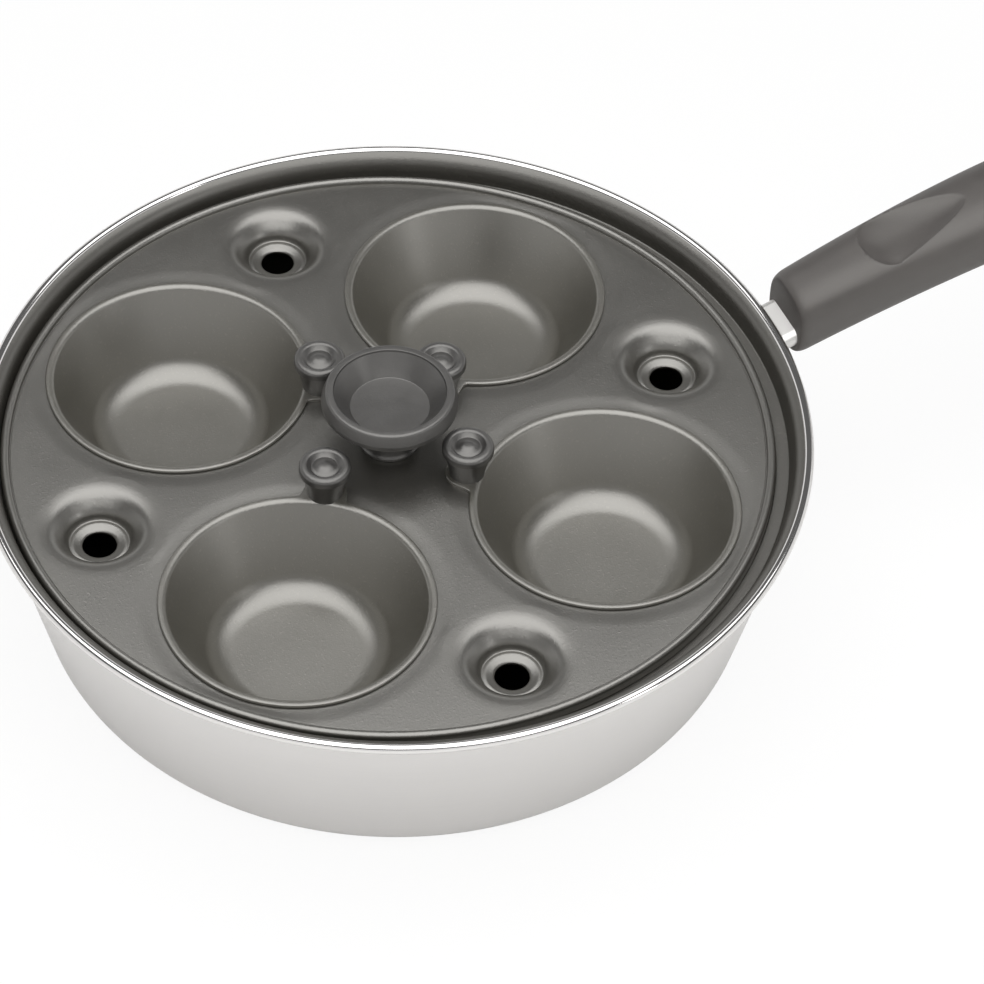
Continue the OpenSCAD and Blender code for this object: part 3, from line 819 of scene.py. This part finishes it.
class POACHER_OT_tray(bpy.types.Operator):
    """Make the tray with its steam vents and its four wells"""
    bl_idname = "poacher.tray"
    bl_label = "Tray"

    def execute(self, context):
        s = context.scene.poacher_tray
        cups = context.scene.poacher_cup
        middle = np.array(s.middle)
        edge = tray_edge(s)
        edge_r = edge[-1, 0]
        vent = vent_profile(s)
        vent_r = vent[0, 0]
        vents = [middle + polar(s.vent_pitch, turn) for turn in (0, 90, 180, 270)]
        wells = [well_outline(s, cups, i) for i in range(1, 5)]
        holes = wells + [circle(centre, vent_r, VENT_STEPS) for centre in vents]
        outer = circle(middle, edge_r, EDGE_STEPS)
        free = self.shoulder_points(s, cups)
        free = free[within(free, outer) & ~np.any([within(free, hole) for hole in holes], axis=0)]
        gap = 0.1 * MM
        near = [np.linalg.norm(free - middle, axis=1) > edge_r - gap]
        near += [np.linalg.norm(free - centre, axis=1) < vent_r + gap for centre in vents]
        points, triangles = cut_sheet(outer, holes, free[~np.any(near, axis=0)])
        sag = tray_dip(s, cups, points, edge_r, vents, vent_r)
        low = s.top_z - s.sheet_t
        surfaces = [turned(edge, EDGE_STEPS, middle),
            (np.column_stack([points, s.top_z - sag]), triangles),
            (np.column_stack([points, low - sag]), triangles[:, ::-1])]
        surfaces += [turned(vent + [0, s.top_z], VENT_STEPS, centre) for centre in vents]
        for well in wells:
            sag = tray_dip(s, cups, well, edge_r, vents, vent_r)
            rim = np.concatenate([np.column_stack([well, z - sag]) for z in (s.top_z, low)])
            surfaces.append((rim, grid_faces(2, len(well))))
        surfaces += [well_collar(s, cups, i) for i in range(1, 5)]
        finish = coating_finish("tray coating", s.coating, s.satin)
        put("tray_pressing", surfaces, "tray", ["tray"], [finish], sharp=40)
        return {"FINISHED"}

    def shoulder_points(self, s, cups):
        """Rings of points on the soft shoulder round each well."""
        first_r = 34.3 * MM
        radii = first_r + (s.dip_w - 0.3 * MM) * np.linspace(0, 1, 8)
        turn = np.linspace(0, 360, 144, False)
        return np.concatenate([cup_place(s, cups, i)[0] + polar(r, turn)
            for i in range(1, 5) for r in radii])


class POACHER_OT_cups(bpy.types.Operator):
    """Make the four egg cups"""
    bl_idname = "poacher.cups"
    bl_label = "Cups"

    def execute(self, context):
        s = context.scene.poacher_cup
        tray = context.scene.poacher_tray
        finish = coating_finish("cup coating", s.coating, s.satin)
        for i in range(1, 5):
            put(f"egg_cup_{i}", [cup_surface(tray, s, i)], f"cup {i}", [f"cup_{i}"], [finish],
                sharp=40)
        return {"FINISHED"}


class POACHER_OT_knobs(bpy.types.Operator):
    """Make the big knob and the four small knobs"""
    bl_idname = "poacher.knobs"
    bl_label = "Knobs"

    def execute(self, context):
        s = context.scene.poacher_knob
        tray = context.scene.poacher_tray
        cups = context.scene.poacher_cup
        finish = moulding_finish("knob moulding", s.moulding, s.gloss, ior=2.1)
        big = big_knob_profile(s) + [0, tray.top_z]
        put("big_knob", [turned(big, KNOB_STEPS, tray.middle)], "tray", ["tray_knob"], [finish],
            sharp=28)
        small = small_knob_profile(s) + [0, tray.top_z + 0.9 * MM]
        small[small[:, 1] < tray.top_z + 1 * MM, 1] -= tray.dip
        for i in range(1, 5):
            middle, facing = cup_place(tray, cups, i)
            knob = turned(small, SMALL_STEPS, middle + polar(cups.tab_reach, facing))
            put(f"small_knob_{i}", [knob], f"cup {i}", [f"cup_knob_{i}"], [finish],
                sharp=28)
        return {"FINISHED"}


class POACHER_OT_grip(bpy.types.Operator):
    """Make the moulded grip"""
    bl_idname = "poacher.grip"
    bl_label = "Grip"

    def execute(self, context):
        s = context.scene.poacher_grip
        finish = moulding_finish("grip moulding", s.moulding, s.satin, ior=1.75)
        put("grip", grip_surfaces(s), "pan", ["handle_grip"], [finish], sharp=40)
        return {"FINISHED"}


class POACHER_OT_stage(bpy.types.Operator):
    """Make the floor, the soft light and the camera"""
    bl_idname = "poacher.stage"
    bl_label = "Stage"

    def execute(self, context):
        s = context.scene.poacher_stage
        scene = context.scene
        scene.view_settings.view_transform = "Standard"
        side = np.linspace(-1.6, 1.6, 3)
        x, y = np.meshgrid(side, side)
        just_below = -0.2 * MM
        points = np.stack([x, y, np.full_like(x, just_below)], -1).reshape(-1, 3)
        mesh = bpy.data.meshes.new("floor")
        mesh.from_pydata(points.tolist(), [], grid_faces(3, 3, wrap=False).tolist())
        mesh.materials.append(self.floor_look(s))
        floor = bpy.data.objects.new("floor", mesh)
        scene.collection.objects.link(floor)
        self.world(scene, s)
        self.lamps(scene, s)
        self.camera(scene)
        return {"FINISHED"}

    def floor_look(self, s):
        """Matt white that keeps the shadow, with a share of plain white where the camera looks."""
        finish = Finish(bpy.data.materials.new("floor"))
        cloud = finish.noise(3.0, detail=2)
        tone = finish.colour_mix(cloud, [c * 0.995 for c in s.floor], s.floor)
        matt = finish.node("ShaderNodeBsdfDiffuse", {}, {"Color": tone})
        plain = finish.node("ShaderNodeEmission", {}, {"Color": WHITE, "Strength": 1.0})
        seen = finish.node("ShaderNodeLightPath", output="Is Camera Ray")
        return finish.end(finish.node("ShaderNodeMixShader", {},
            {0: seen * s.backdrop, 1: matt, 2: plain}))

    def world(self, scene, s):
        """White for the camera, a low white band in reflections, and the fill light elsewhere."""
        sky = Finish(bpy.data.worlds.new("studio"), "Generated")
        height = sky.axes()[2]
        low = sky.node("ShaderNodeMapRange", {},
            {"Value": height, "From Min": 0.42, "From Max": 0.30})
        glossy = sky.node("ShaderNodeLightPath", output="Is Glossy Ray")
        seen = sky.node("ShaderNodeLightPath", output="Is Camera Ray")
        white = seen.maths("MAXIMUM", low * glossy, seen)
        level = sky.node("ShaderNodeMapRange", {},
            {"Value": white, "To Min": s.fill, "To Max": 1.0})
        light = sky.node("ShaderNodeBackground", {}, {"Color": WHITE, "Strength": level})
        scene.world = sky.end(light, "ShaderNodeOutputWorld")

    def lamps(self, scene, s):
        """A wide soft box over the pan and a narrow one on its right."""
        boxes = [
            ("soft box", (1.30, 1.48), s.key, (-0.113, -0.240, 0.872), (-6.1, 0, -25.2)),
            ("side strip", (0.16, 0.50), s.key * 0.06, (0.75, -1.05, 0.55), (66, 0, 35.5))]
        for name, size, power, place, turn in boxes:
            lamp = bpy.data.lights.new(name, "AREA")
            lamp.shape = "RECTANGLE"
            lamp.size, lamp.size_y = size
            lamp.energy = power
            holder = bpy.data.objects.new(name, lamp)
            scene.collection.objects.link(holder)
            holder.location = place
            holder.rotation_euler = [math.radians(a) for a in turn]

    def camera(self, scene):
        """The camera's axes and place, as found from the pan's rim, cups and base."""
        place = (-0.2703, -0.6323, 0.7667)
        across = Vector((0.9169, -0.3982, 0.0281))
        up = Vector((0.2739, 0.6787, 0.6814))
        back = Vector((-0.2904, -0.6171, 0.7314))
        lens = bpy.data.cameras.new("camera")
        lens.sensor_width = 36.0
        lens.lens = 144.4
        holder = bpy.data.objects.new("camera", lens)
        scene.collection.objects.link(holder)
        turn = Matrix((across, up, back)).transposed().to_4x4()
        holder.matrix_world = Matrix.Translation(place) @ turn
        scene.camera = holder


class POACHER_PT_panel(bpy.types.Panel):
    """Sizes, colours and steps of the poacher"""
    bl_idname = "POACHER_PT_panel"
    bl_label = "Egg poacher pan"
    bl_space_type = "VIEW_3D"
    bl_region_type = "UI"
    bl_category = "Poacher"

    def draw(self, context):
        for name, group in SETTINGS.items():
            box = self.layout.box()
            box.label(text=group.__doc__)
            for key in group.__annotations__:
                box.prop(getattr(context.scene, name), key)
        for operator in OPERATORS:
            self.layout.operator(operator.bl_idname)


SETTINGS = {"poacher_pan": PanSettings, "poacher_tray": TraySettings, "poacher_cup": CupSettings,
    "poacher_knob": KnobSettings, "poacher_grip": GripSettings, "poacher_stage": StageSettings}
OPERATORS = [POACHER_OT_stage, POACHER_OT_pan, POACHER_OT_fixings, POACHER_OT_tray, POACHER_OT_cups,
    POACHER_OT_knobs, POACHER_OT_grip]


def register():
    """Adds the operators and the panel, and the settings to the scene."""
    for group in [*SETTINGS.values(), *OPERATORS, POACHER_PT_panel]:
        bpy.utils.register_class(group)
    for name, group in SETTINGS.items():
        setattr(bpy.types.Scene, name, PointerProperty(type=group))


def unregister():
    """Takes away what register added."""
    for name in SETTINGS:
        delattr(bpy.types.Scene, name)
    for group in reversed([*SETTINGS.values(), *OPERATORS, POACHER_PT_panel]):
        bpy.utils.unregister_class(group)


def main():
    register()
    for operator in OPERATORS:
        getattr(bpy.ops.poacher, operator.bl_idname.split(".")[1])()


if __name__ == "__main__":
    main()
